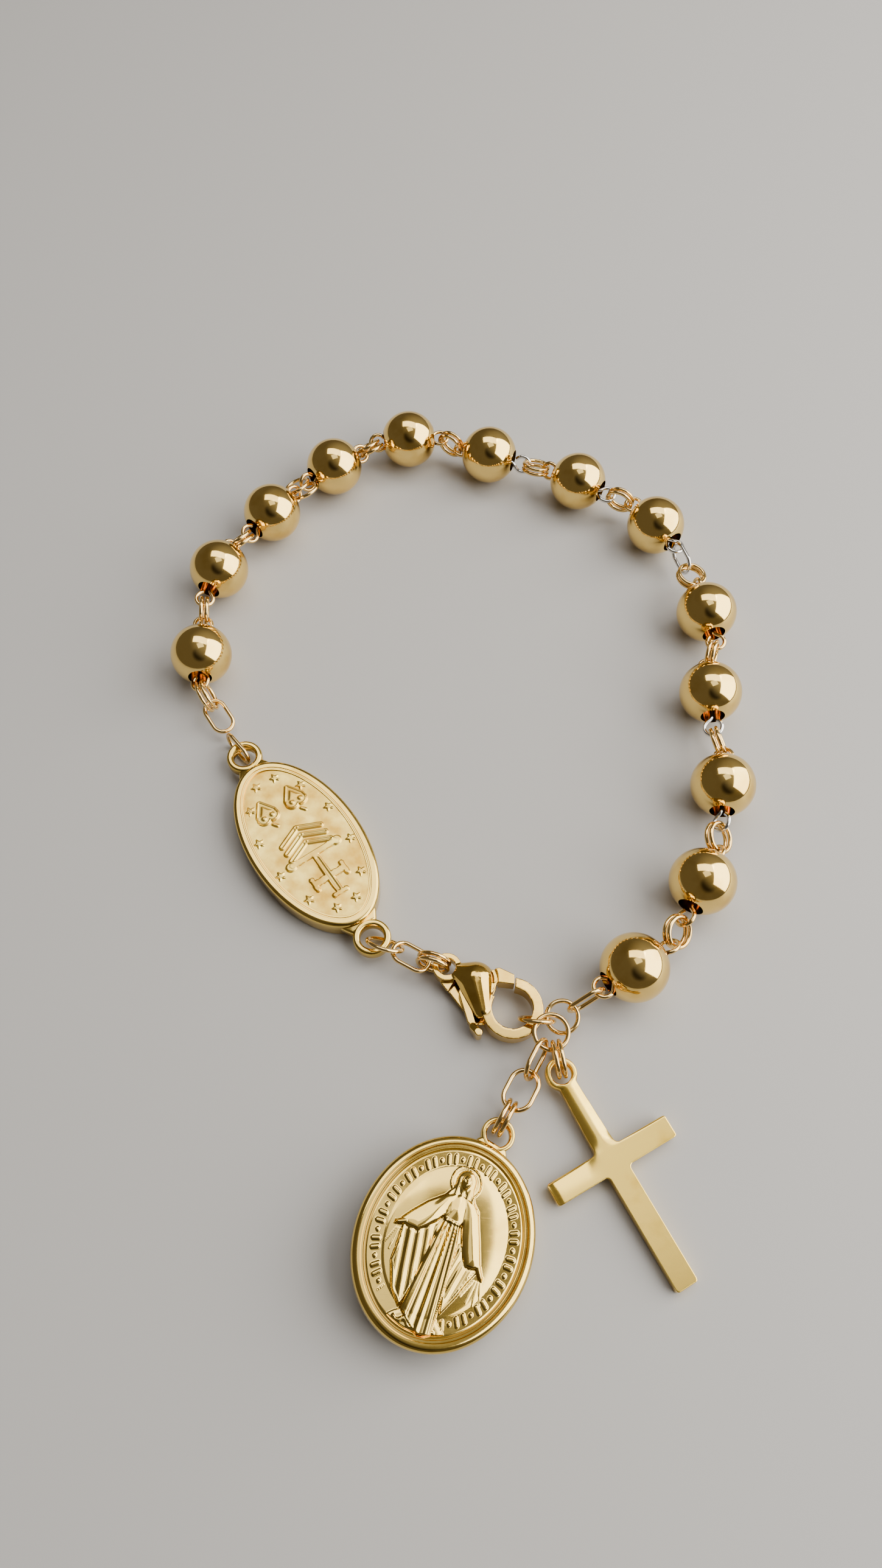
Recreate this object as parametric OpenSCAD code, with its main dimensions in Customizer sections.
/* [Beads] */
// Diameter of each bead
bead_d = 6; // [5.7:0.05:6.3]
// Diameter of the hole drilled through each bead
bead_bore = 2.7; // [2.6:0.05:3]

/* [Eye pins and jump rings] */
// Thickness of the eye pins' wire
pin_wire = 0.38; // [0.34:0.01:0.42]
// Thickness of the straight shaft between the two loops of an eye pin
pin_shaft = 0.35; // [0.28:0.01:0.4]
// Outside diameter of the loop at each end of an eye pin
eye_od = 2.1; // [2:0.02:2.2]
// How far the centre of a loop lies outside its bead
eye_out = 0.46; // [0.44:0.02:0.5]
// Thickness of the wire of the jump rings and links
ring_wire = 0.4; // [0.3:0.01:0.44]
// Outside diameter of a jump ring
ring_od = 3.1; // [3:0.02:3.2]
// Clear space left between two wires that lie side by side
wire_gap = 0.12; // [0.1:0.01:0.15]
// Outside length of an oval link
link_l = 3.8; // [3.7:0.05:3.9]
// Outside width of an oval link
link_w = 2.4; // [2.2:0.05:2.5]
// Outside diameter of the two rings behind the first bead
first_ring_od = 3.3; // [3.2:0.02:3.4]
// Outside diameter of the rings that carry the drops
drop_ring_od = 3.3; // [3.2:0.02:3.4]
// Outside length of the two links above the pendant
drop_link_l = 3.9; // [3.8:0.05:4]
// Outside width of the two links above the pendant
drop_link_w = 2.8; // [2.7:0.05:2.9]
// Outside diameter of the wider ring in the connector's lower loop
wide_ring_od = 3.6; // [3.5:0.05:3.8]

/* [Connector medal] */
// Long half axis of the oval
connector_a = 9.5; // [8.8:0.1:9.6]
// Short half axis of the oval
connector_b = 5.2; // [4.8:0.1:5.8]
// Thickness at the rim
connector_t = 2.2; // [2:0.05:2.4]
// Width of the raised rim
connector_rim = 0.75; // [0.5:0.05:1]
// Distance from the middle to each loop's centre
connector_reach = 11.1; // [10.9:0.05:11.2]
// Outside diameter of the connector's loops
connector_loop_od = 3.4; // [3.2:0.05:3.5]
// Hole in the connector's loops
connector_loop_bore = 2.1; // [2:0.05:2.2]
// Thickness of the connector's loops
connector_loop_t = 1.2; // [1:0.05:1.25]
// Width of the necks under the connector's loops
connector_neck = 2.4; // [2.2:0.1:3]

/* [Pendant medal] */
// Long half axis of the oval
medal_a = 8; // [7.5:0.1:8.1]
// Short half axis of the oval
medal_b = 6.9; // [6.4:0.1:7.2]
// Thickness at the rim
medal_t = 1.8; // [1.6:0.05:2]
// Width of the raised rim
medal_rim = 0.7; // [0.5:0.05:1]
// Height of the dome of the field and of the back
medal_dome = 0.5; // [0.3:0.05:0.6]
// Distance from the middle to the loop's centre
medal_reach = 9.1; // [9:0.05:9.3]
// Outside diameter of the pendant's loop
medal_loop_od = 2.8; // [2.6:0.05:3]
// Hole in the pendant's loop
medal_loop_bore = 1.9; // [1.7:0.05:1.95]
// Thickness of the pendant's loop
medal_loop_t = 0.9; // [0.8:0.05:0.95]
// Width of the neck under the pendant's loop
medal_neck = 2; // [1.8:0.1:2.4]
// Depth of the sunk fields below the rims
field_depth = 0.25; // [0.15:0.01:0.35]
// Width of the figure on the pendant from hand to hand
figure_w = 6.6; // [6:0.1:7]
// Length of the figure from its halo to the foot of the globe
figure_l = 11.9; // [11:0.1:12.2]
// Height of the figure's relief
figure_h = 0.75; // [0.5:0.05:0.9]
// Height of the low relief above the fields
relief = 0.16; // [0.1:0.01:0.25]

/* [Cross] */
// Length from the middle of the crossing to the foot
cross_foot = 10.6; // [9:0.1:12]
// Length from the middle of the crossing to the loop's centre
cross_head = 7.8; // [7.4:0.1:8]
// Length across both arms
cross_span = 11.2; // [10:0.1:13]
// Width of the upright and the arms
cross_w = 1.9; // [1.6:0.05:2.2]
// Thickness of the cross
cross_t = 1; // [0.9:0.05:1.05]
// Width of the neck under the loop
cross_neck = 1.5; // [1.3:0.05:1.8]
// Outside diameter of the cross's loop
cross_loop_od = 2.7; // [2.5:0.05:2.8]
// Hole in the cross's loop
cross_loop_bore = 1.7; // [1.6:0.05:1.75]

/* [Lobster clasp] */
// Distance from the clasp's eye to the middle of its hook
hook_reach = 6.65; // [6.5:0.05:6.8]
// Outside radius of the hook
hook_r = 2.65; // [2.55:0.05:2.7]
// Width of the hook's band
hook_band = 0.9; // [0.8:0.05:0.95]
// Height of the hook's band where it leaves the body
hook_t = 1.9; // [1.7:0.05:2]
// Height of the hook's band at its far end
hook_end_t = 1.3; // [1.1:0.05:1.35]
// Height of the clasp's body above its middle plane
clasp_top = 1.65; // [1.55:0.05:1.75]
// Height of the clasp's body below its middle plane
clasp_bottom = 1.33; // [1.25:0.01:1.35]
// Outside diameter of the clasp's eye
clasp_eye_od = 2.5; // [2.4:0.05:2.6]
// Hole in the clasp's eye
clasp_eye_bore = 1.5; // [1.4:0.05:1.55]
// Thickness of the clasp's eye
clasp_eye_t = 1.1; // [1:0.05:1.2]
// Thickness of the lever
lever_t = 0.8; // [0.7:0.02:0.86]
// Height of the lever's gate and of its thumb tab
gate_t = 1.5; // [1.3:0.05:1.6]
// Distance from the lever's pin to the end of its gate
gate_reach = 3.45; // [3.4:0.01:3.48]
// Diameter of the lever's pin
pin_d = 0.8; // [0.7:0.02:0.9]
// Clear space round the lever and its pin
lever_gap = 0.08; // [0.06:0.01:0.1]

/* [Hidden] */
$fn = 48;
eps = 0.02;

// Bead centres in the plane and how far each pin has slid forward: x, y, slide
beads = [
    [-25.35, 14.75, 0.3],
    [-24.6, 25.45, -0.4],
    [-19.65, 33.1, 0],
    [-13.3, 39.7, 0],
    [-5.15, 43.8, 0],
    [3.75, 41.45, 0.4],
    [13.35, 37.55, 0.05],
    [21.25, 31.35, -0.2],
    [25.35, 19.95, 0.15],
    [24.65, 10.31, 0.45],
    [24.62, 0.07, 0.32],
    [21.65, -9.6, 0.35],
    [14.95, -17.55, -0.25]
];
// Points that the first and the last bead's axes are turned by
string_start = [-23.65, 9.25];
string_end = [9.35, -17.15];
// How far each pair of jump rings is rolled about its chord
pair_rolls = [10, 40, 60, 45, 5, 65, 5, 80, 10, 25, 50, 45];
// Places of the single links and rings: x, y, z, heading, pitch, roll
first_pair_at = [-24.46, 10.3, 2.29, -63, -12, 107];
link_2_at = [-23.3, 8.55, 1.36, -55, -15, -3];
link_1_at = [-21.11, 4.97, 1.24, -50, 1, 85];
wide_ring_at = [-6.46, -15.01, 1.57, -87, 55, 162];
clasp_link_at = [-4.18, -16.1, 1.53, -27, -8, -15];
clasp_pair_at = [-2.23, -16.62, 1.59, -15, 31, 87];
hook_ring_at = [6.54, -21.7, 1.61, -3, -2, 112];
end_ring_at = [8.74, -21.39, 1.4, 18, 4, 17];
end_link_at = [10.76, -20.17, 2.18, -153, -26, 94];
drop_ring_at = [7.65, -22.91, 2.19, -104, -9, -7];
medal_link_1_at = [6.3, -25.19, 2.21, 61, 1, 73];
medal_link_2_at = [4.97, -27.64, 1.94, 61, -2, -14];
medal_pair_at = [3.6, -29.8, 1.72, 60, -1, 92];
cross_pair_at = [8.24, -25.05, 1.7, 99, 0, 85];

connector_at = [-14, -5.22, 0];
connector_heading = -55;
medal_at = [-1.35, -39.05, 1.98];
medal_heading = 61;
medal_tilt = 9;
cross_at = [12.15, -32.95, 0];
cross_heading = 119;
cross_pitch = 2;
clasp_at = [-1.05, -17.1, 1.35];
clasp_heading = -33;

ring_r = (ring_od - ring_wire) / 2;
eye_r = (eye_od - pin_wire) / 2;
eye_reach = bead_d / 2 + eye_out;
// The pins hang a little low, almost on the floor of each bore
pin_sag = (bead_bore - eye_od) / 2 - 0.1;
pair_half = (ring_wire + wire_gap) / 2;
connector_loop_z = connector_t / 2 + 0.1;
// How far the rings of a slack pair reach past the middle of an eye
eye_depth = 0.05;

// Points of the clasp in its own plane, measured from its eye
hook_at = [hook_reach, -0.1];
pivot_at = [2.6, 0.3];
hub_r = 1;
// Reach of the boxes that cut the clasp's parts
cut_l = 10;
cut_h = 5;
finger_bend = [2.6, -1.3];
finger_end = [4.2, -2.75];
tab_from = [4.65, -3.2];
tab_to = [5.35, -3.4];

function pad(i) = i < 9 ? str("0", i + 1) : str(i + 1);

function unit(v) = v / norm(v);
function flat(row) = [row[0], row[1]];
function bead_at(i) = [beads[i][0], beads[i][1], bead_d / 2];
// Where the string of beads comes from and goes to at its two ends
function before(i) = i > 0 ? flat(beads[i - 1]) : string_start;
function after(i) = i < len(beads) - 1 ? flat(beads[i + 1]) : string_end;
function bead_axis(i) = let (d = unit(after(i) - before(i))) [d[0], d[1], 0];
function eye_at(i, side) =
    bead_at(i) - [0, 0, pin_sag] + bead_axis(i) * (side * eye_reach + beads[i][2]);

// A spacer link stands between the eighth bead and its pair of rings
spacer_joint = 7;
spacer_c = link_l - ring_wire;
spacer_hold = spacer_c - ring_wire - wire_gap - 0.2;
function joint_from(j) = j == spacer_joint
    ? eye_at(j, 1) + unit(eye_at(j + 1, -1) - eye_at(j, 1)) * spacer_hold
    : eye_at(j, 1);
function joint_to(j) = eye_at(j + 1, -1);
function chord(j) = unit(joint_to(j) - joint_from(j));
function upright(c) = unit([0, 0, 1] - c * c[2]);
function turned(c, angle) = upright(c) * cos(angle) + cross(c, upright(c)) * sin(angle);
function rise(j) = turned(chord(j), pair_rolls[j]);
// The two rings of a pair lie to either side of their chord, nearly in one plane
function half_chord(j) = min(ring_r, norm(joint_to(j) - joint_from(j)) / 2 + eye_depth);
function ring_shift(j) = sqrt(max(0, pow(ring_r, 2) - pow(half_chord(j), 2)));
function pair_ring(j, side) =
    let (c = chord(j), p = rise(j), m = cross(c, p))
    [(joint_from(j) + joint_to(j)) / 2 + side * (m * pair_half + p * ring_shift(j)), m];
// Direction in which the wire of the neighbouring rings runs through an eye
function eye_normal(i, side) =
    let (j = side > 0 ? i : i - 1,
         last = len(beads) - 1,
         p = side < 0 && i == 0 ? turned(-bead_axis(0), 20)
             : side > 0 && i == last ? turned(bead_axis(i), 0)
             : j == spacer_joint && side > 0 ? cross(chord(j), rise(j))
             : rise(j),
         a = bead_axis(i))
    unit(p - a * (p * a));

module place(centre, x_dir, z_dir) {
    y_dir = cross(z_dir, x_dir);
    multmatrix([
        [x_dir[0], y_dir[0], z_dir[0], centre[0]],
        [x_dir[1], y_dir[1], z_dir[1], centre[1]],
        [x_dir[2], y_dir[2], z_dir[2], centre[2]],
        [0, 0, 0, 1]
    ]) children();
}

module lie(row) {
    translate([row[0], row[1], row[2]])
        rotate([0, 0, row[3]])
            rotate([0, -row[4], 0])
                rotate([row[5], 0, 0])
                    children();
}

module wire_ring(od, wire) {
    rotate_extrude()
        translate([(od - wire) / 2, 0])
            circle(d = wire, $fn = 24);
}

module ring_on(centre, normal, od, wire) {
    side = unit(cross(normal, abs(normal[2]) < 0.9 ? [0, 0, 1] : [1, 0, 0]));
    place(centre, side, normal) wire_ring(od, wire);
}

module oval_link(l = link_l, w = link_w) {
    half = (l - w) / 2;
    bend = (w - ring_wire) / 2;
    for (side = [-1, 1]) {
        translate([side * half, 0, 0])
            rotate([0, 0, -90 * side])
                rotate_extrude(angle = 180)
                    translate([bend, 0])
                        circle(d = ring_wire, $fn = 24);
        translate([0, side * bend, 0])
            rotate([0, 90, 0])
                cylinder(d = ring_wire, h = 2 * half, center = true, $fn = 24);
    }
}

// Two equal rings side by side, a wire's thickness and a gap apart
module double_ring(od = ring_od) {
    for (side = [-1, 1])
        translate([0, 0, side * pair_half])
            wire_ring(od, ring_wire);
}

module bead(i) {
    color("goldenrod")
        place(bead_at(i), [0, 0, 1], bead_axis(i))
            difference() {
                sphere(d = bead_d, $fn = 64);
                cylinder(d = bead_bore, h = bead_d + 1, center = true);
            }
}

module eye_pin(i) {
    color("khaki") {
        for (side = [-1, 1])
            ring_on(eye_at(i, side), eye_normal(i, side), eye_od, pin_wire);
        shaft = 2 * (eye_reach - eye_r);
        place((eye_at(i, -1) + eye_at(i, 1)) / 2, [0, 0, 1], bead_axis(i))
            cylinder(d = min(pin_shaft, pin_wire - eps), h = shaft, center = true, $fn = 24);
    }
}

module ring_pair(j) {
    color("khaki")
        for (side = [-1, 1]) {
            ring = pair_ring(j, side);
            ring_on(ring[0], ring[1], ring_od, ring_wire);
        }
}

module spacer_link() {
    j = spacer_joint;
    from = eye_at(j, 1);
    c = unit(eye_at(j + 1, -1) - from);
    color("silver")
        place(from + c * spacer_c / 2, c, rise(j))
            oval_link();
}

module connector_chain() {
    color("khaki") {
        lie(first_pair_at) double_ring(first_ring_od);
        lie(link_2_at) oval_link();
        lie(link_1_at) oval_link();
    }
}

function oval(a, b, steps = 96) =
    [for (k = [0 : steps - 1]) [a * cos(360 * k / steps), b * sin(360 * k / steps)]];

// An oval plate with a rounded edge, its underside domed by the height given
module oval_plate(a, b, t, edge, dome = 0) {
    hull() {
        for (k = [0 : 3]) {
            sunk = edge * (1 - cos(30 * k));
            inset = edge * (1 - sin(30 * k));
            translate([0, 0, sunk])
                linear_extrude(t - 2 * sunk)
                    polygon(oval(a - inset, b - inset, 72));
        }
        if (dome > 0)
            mirror([0, 0, 1]) dome_layers(a - edge, b - edge, dome);
    }
}

// Thin ovals stacked to the outline of a dome that stands on z = 0
module dome_layers(a, b, height) {
    for (k = [1 : 4])
        translate([0, 0, height * (1 - pow(k / 4, 2))])
            linear_extrude(eps)
                polygon(oval(a * k / 4, b * k / 4, 48));
}

module star(r) {
    polygon([for (k = [0 : 9])
        let (s = k % 2 == 0 ? r : 0.45 * r) [s * sin(36 * k), s * cos(36 * k)]]);
}

module heart(w) {
    lobe = w * 0.28;
    for (side = [-1, 1])
        translate([side * lobe * 0.8, 0]) circle(r = lobe, $fn = 32);
    polygon([[-1.65 * lobe, -0.5 * lobe], [0, -3 * lobe], [1.65 * lobe, -0.5 * lobe], [0, 0.6 * lobe]]);
}

star_count = 12;
star_r = 0.5;
heart_w = 2.6;
// Places and sizes of the connector's relief, from the oval's half axes
star_oval = [0.79 * connector_a, 0.72 * connector_b];
heart_at = [-0.42 * connector_a, 0.29 * connector_b];
chevron_at = [-0.11 * connector_a, -0.05 * connector_a, 0.01 * connector_a];
chevron_l = 0.4 * connector_b;
chevron_w = 0.3;
chevron_angle = 66;
bar_at = 0.165 * connector_a;
bar_l = 0.92 * connector_b;
bar_w = 0.6;
arm_at = 0.45 * connector_a;
arm_l = 0.58 * connector_b;
stem_to = 0.64 * connector_a;
end_w = 1.1;
end_t = 0.4;

// A bar of relief that lies centred on the point given
module strip(at, size, height) {
    translate([at[0] - size[0] / 2, at[1] - size[1] / 2])
        linear_extrude(height) square(size);
}

module connector_relief() {
    for (k = [0 : star_count - 1]) {
        angle = 360 * (k + 0.5) / star_count;
        translate([star_oval[0] * cos(angle), star_oval[1] * sin(angle)])
            rotate([0, 0, 90])
                linear_extrude(relief) star(star_r);
    }
    for (side = [-1, 1])
        translate([heart_at[0], heart_at[1] * side])
            rotate([0, 0, 90])
                linear_extrude(1.5 * relief) heart(heart_w);
    // Three chevrons, a bar and a cross with spread ends
    for (x = chevron_at)
        for (side = [-1, 1])
            translate([x, 0])
                rotate([0, 0, side * chevron_angle])
                    strip([chevron_l / 2, 0], [chevron_l, chevron_w], relief);
    height = 1.3 * relief;
    strip([bar_at, 0], [bar_w, bar_l], height);
    strip([(bar_at + stem_to) / 2, 0], [stem_to - bar_at, bar_w], height);
    strip([arm_at, 0], [bar_w, arm_l], height);
    strip([stem_to, 0], [end_t, end_w], height);
    for (side = [-1, 1])
        strip([arm_at, side * arm_l / 2], [end_w, end_t], height);
}

module connector_medal() {
    color("gold")
        translate(connector_at)
            rotate([0, 0, connector_heading]) {
                difference() {
                    union() {
                        oval_plate(connector_a, connector_b, connector_t, 0.45);
                        for (side = [-1, 1])
                            translate([side * connector_reach, 0, connector_loop_z])
                                cylinder(d = connector_loop_od, h = connector_loop_t, center = true);
                        translate([-connector_reach, -connector_neck / 2, connector_loop_z - connector_loop_t / 2])
                            cube([2 * connector_reach, connector_neck, connector_loop_t]);
                    }
                    translate([0, 0, connector_t - field_depth])
                        linear_extrude(1)
                            polygon(oval(connector_a - connector_rim, connector_b - connector_rim));
                    for (side = [-1, 1])
                        translate([side * connector_reach, 0, connector_loop_z])
                            cylinder(d = connector_loop_bore, h = connector_t, center = true);
                }
                translate([0, 0, connector_t - field_depth - eps])
                    connector_relief();
            }
}

dot_count = 56;
dot_d = 0.36;
dot_inset = 0.65;
figure_lean = 7;
ray_angles = [-16, 0, 16];
// How far the figure's own origin lies above the medal's middle
figure_up = 0.9;

// The robed figure stands on a globe with its hands lowered, up along +Y
module figure() {
    linear_extrude(2.2 * relief)
        polygon([[-0.55, 2.3], [0.55, 2.3], [0.95, 0.2], [1.35, -4.2], [0, -4.7], [-1.35, -4.2], [-0.95, 0.2]]);
    linear_extrude(3 * relief)
        polygon([[0.62, 2.45], [2.5, 0.1], [2.25, -0.35], [1.4, 0.25], [0.7, 0.5],
                 [-0.7, 0.5], [-1.4, 0.25], [-2.25, -0.35], [-2.5, 0.1], [-0.62, 2.45]]);
    for (side = [-1, 1]) {
        linear_extrude(1.6 * relief)
            polygon([[0.6 * side, 1.8], [2.2 * side, -0.2], [1.9 * side, -2.9], [1.2 * side, -3.6]]);
        translate([2.45 * side, -0.25]) cylinder(d = 0.5, h = 2.6 * relief, $fn = 16);
        for (angle = ray_angles)
            translate([2.45 * side, -0.4])
                rotate([0, 0, side * angle - 90])
                    translate([0.15, -0.06]) linear_extrude(relief) square([1.7, 0.12]);
    }
    translate([0, 3.15, 0]) {
        cylinder(d = 1.3, h = 2.2 * relief, $fn = 32);
        translate([0, 0, 1.6 * relief]) sphere(d = 1, $fn = 32);
        rotate_extrude()
            translate([1.05, 0]) square([0.16, 1.2 * relief]);
    }
    intersection() {
        translate([0, -7.1]) cylinder(r = 2.7, h = 1.2 * relief);
        linear_extrude(1) polygon(oval(medal_b - medal_rim - 0.9, medal_a - medal_rim - 0.9));
    }
}

module pendant_medal() {
    field_z = medal_t - field_depth;
    color("gold")
        translate(medal_at)
            rotate([0, medal_tilt, 0])
                rotate([0, 0, medal_heading - 90])
                    translate([0, 0, -medal_t / 2]) {
                        difference() {
                            union() {
                                oval_plate(medal_b, medal_a, medal_t, 0.5, medal_dome);
                                translate([0, medal_reach, medal_t / 2])
                                    cylinder(d = medal_loop_od, h = medal_loop_t, center = true);
                                translate([-medal_neck / 2, 0, (medal_t - medal_loop_t) / 2])
                                    cube([medal_neck, medal_reach, medal_loop_t]);
                            }
                            translate([0, 0, field_z])
                                linear_extrude(1)
                                    polygon(oval(medal_b - medal_rim, medal_a - medal_rim));
                            translate([0, medal_reach, medal_t / 2])
                                cylinder(d = medal_loop_bore, h = medal_t, center = true);
                        }
                        translate([0, 0, field_z - eps])
                            hull() dome_layers(medal_b - medal_rim - 1.2, medal_a - medal_rim - 1.2, medal_dome / 2);
                        translate([0, figure_up, field_z + medal_dome / 2 - relief])
                            rotate([0, 0, figure_lean])
                                resize([figure_w, figure_l, figure_h]) figure();
                        for (k = [0 : dot_count - 1]) {
                            angle = 360 * (k + 0.5) / dot_count;
                            translate([(medal_b - medal_rim - dot_inset) * cos(angle),
                                       (medal_a - medal_rim - dot_inset) * sin(angle), field_z - eps])
                                cylinder(d = dot_d, h = relief, $fn = 10);
                        }
                    }
}

module cross() {
    half = cross_w / 2;
    color("gold")
        translate(cross_at)
            rotate([0, 0, cross_heading])
                rotate([0, -cross_pitch, 0])
                    translate([0, 0, cross_foot * sin(cross_pitch)])
                        difference() {
                            linear_extrude(cross_t)
                                union() {
                                    polygon([
                                        [-cross_foot, -half + 0.2], [-cross_foot + 0.2, -half],
                                        [-half - 0.3, -half], [-half, -half - 0.3],
                                        [-half, -cross_span / 2 + 0.25], [-half + 0.25, -cross_span / 2],
                                        [half - 0.25, -cross_span / 2], [half, -cross_span / 2 + 0.25],
                                        [half, -half - 0.3], [half + 0.3, -half],
                                        [cross_head, -cross_neck / 2], [cross_head, cross_neck / 2],
                                        [half + 0.3, half], [half, half + 0.3],
                                        [half, cross_span / 2 - 0.25], [half - 0.25, cross_span / 2],
                                        [-half + 0.25, cross_span / 2], [-half, cross_span / 2 - 0.25],
                                        [-half, half + 0.3], [-half - 0.3, half],
                                        [-cross_foot + 0.2, half], [-cross_foot, half - 0.2]
                                    ]);
                                    translate([cross_head, 0]) circle(d = cross_loop_od);
                                }
                            translate([cross_head, 0, cross_t / 2])
                                cylinder(d = cross_loop_bore, h = cross_t + 1, center = true);
                        }
}

module in_clasp() {
    translate(clasp_at)
        rotate([0, 0, clasp_heading])
            children();
}

// Spheres pressed to a height above and below the middle plane: x, y, radius, height
shell_balls = [[0.9, 0.2, 0.75, 0.8], [2.7, 0.4, 1.7, clasp_top], [4.6, -1.5, 1, 1.1]];
cheek_balls = [[0.7, -0.5, 1, 0.9], [2.7, 0.2, 1.8, 1.9], [4.5, -1.65, 1.15, 1.6]];

module pressed_hull(balls) {
    hull()
        for (ball = balls)
            translate([ball[0], ball[1], 0])
                scale([1, 1, ball[3] / ball[2]])
                    sphere(r = ball[2], $fn = 32);
}

// Teardrop of the body: slim at the eye, full over the pin, drawn out to the hook
module clasp_shell() {
    pressed_hull(shell_balls);
}

// The lower cheek stands out further on the side of the thumb
module lower_cheek() {
    pressed_hull(cheek_balls);
}

module hook() {
    top = hook_t / 2;
    slope = atan((hook_t - hook_end_t) / 2 / (2 * hook_r));
    difference() {
        translate(hook_at)
            cylinder(r = hook_r, h = hook_t, center = true, $fn = 96);
        for (side = [0, 1])
            mirror([0, 0, side])
                translate([hook_at[0] - hook_r, -cut_l / 2, top])
                    rotate([0, slope, 0])
                        cube([cut_l, cut_l, hook_t]);
    }
}

module clasp_body() {
    color("gold")
        in_clasp()
            difference() {
                union() {
                    difference() {
                        clasp_shell();
                        translate([0, -cut_l / 2, -cut_h]) cube([cut_l, cut_l, cut_h]);
                    }
                    difference() {
                        lower_cheek();
                        for (z = [0, -cut_h - clasp_bottom])
                            translate([-clasp_eye_od, -cut_l / 2, z]) cube([cut_l, cut_l, cut_h]);
                    }
                    cylinder(d = clasp_eye_od, h = clasp_eye_t, center = true);
                    hook();
                }
                cylinder(d = clasp_eye_bore, h = 2 * clasp_top, center = true);
                translate(hook_at)
                    cylinder(r = hook_r - hook_band, h = cut_h, center = true, $fn = 96);
                lever_slot();
                translate(pivot_at) cylinder(d = pin_d, h = lever_pin_l, center = true);
            }
}

slot_from = 1.15;
slot_to = 4.85;
lever_pin_l = 2;
// Lap of the mouth over the slot, and the mouth's size
mouth_lap = 0.5;
mouth_l = 3;
// Inner radii, about the pin, of the mouth and of the gate's full height
mouth_r = 1.95;
gate_r = 2.05;

// Slot between the cheeks, and the mouth that the gate closes
module lever_slot() {
    height = lever_t + 2 * lever_gap;
    translate([slot_from, -cut_l / 2, -height / 2]) cube([slot_to - slot_from, cut_l, height]);
    intersection() {
        translate(pivot_at)
            cylinder(r = gate_reach + lever_gap, h = cut_h, center = true, $fn = 96);
        translate([slot_to - mouth_lap, hook_at[1], -cut_h / 2]) cube([mouth_l, cut_h, cut_h]);
        translate(pivot_at)
            difference() {
                cylinder(r = cut_l / 2, h = cut_h, center = true);
                cylinder(r = mouth_r, h = cut_h, center = true);
            }
    }
}

// Outlines of the lever's gate and of its finger, and the radii of its thumb tab
gate_outline = [pivot_at, [4.35, 1.1], [5.7, 1.75], [6, 2.6], [3.9, 2.35], [2.6, 1.3]];
finger_outline = [[1.65, 0.1], [2.05, -1.35], [4.05, -3.1], [4.75, -3.3], [4.75, -2.9], [3.1, -1.3], [3.4, -0.3]];
tab_from_r = 0.28;
tab_to_r = 0.32;
tab_from_t = 0.9;

module clasp_lever() {
    color("gold")
        in_clasp()
            difference() {
                union() {
                    linear_extrude(lever_t, center = true) {
                        translate(pivot_at) circle(r = hub_r);
                        intersection() {
                            polygon(gate_outline);
                            translate(pivot_at) circle(r = gate_reach, $fn = 96);
                        }
                        polygon(finger_outline);
                    }
                    linear_extrude(gate_t, center = true)
                        intersection() {
                            polygon(gate_outline);
                            translate(pivot_at)
                                difference() {
                                    circle(r = gate_reach, $fn = 96);
                                    circle(r = gate_r, $fn = 96);
                                }
                        }
                    hull() {
                        translate(tab_from) cylinder(r = tab_from_r, h = tab_from_t, center = true, $fn = 32);
                        translate(tab_to) cylinder(r = tab_to_r, h = gate_t, center = true, $fn = 32);
                    }
                }
                translate(pivot_at) cylinder(d = pin_d + 2 * lever_gap, h = lever_pin_l, center = true);
            }
}

module clasp_pin() {
    color("silver")
        in_clasp()
            translate(pivot_at)
                cylinder(d = pin_d, h = lever_pin_l, center = true);
}

module clasp_chain() {
    color("khaki") {
        lie(wide_ring_at) wire_ring(wide_ring_od, ring_wire);
        lie(clasp_link_at) oval_link();
        lie(clasp_pair_at) double_ring();
    }
}

module end_chain() {
    color("khaki") {
        lie(end_ring_at) wire_ring(ring_od, ring_wire);
        lie(end_link_at) oval_link();
    }
}

module drop_rings() {
    color("khaki") {
        lie(hook_ring_at) wire_ring(drop_ring_od, ring_wire);
        lie(drop_ring_at) wire_ring(drop_ring_od, ring_wire);
    }
}

module medal_chain() {
    color("khaki") {
        lie(medal_link_1_at) oval_link(drop_link_l, drop_link_w);
        lie(medal_link_2_at) oval_link(drop_link_l, drop_link_w);
        lie(medal_pair_at) double_ring(drop_ring_od);
    }
}

module cross_rings() {
    color("khaki")
        lie(cross_pair_at) double_ring(drop_ring_od);
}

for (i = [0 : len(beads) - 1]) {
    bead(i);
    eye_pin(i);
}
for (j = [0 : len(pair_rolls) - 1])
    ring_pair(j);
spacer_link();
connector_chain();
connector_medal();
clasp_chain();
clasp_body();
clasp_lever();
clasp_pin();
end_chain();
drop_rings();
medal_chain();
pendant_medal();
cross_rings();
cross();
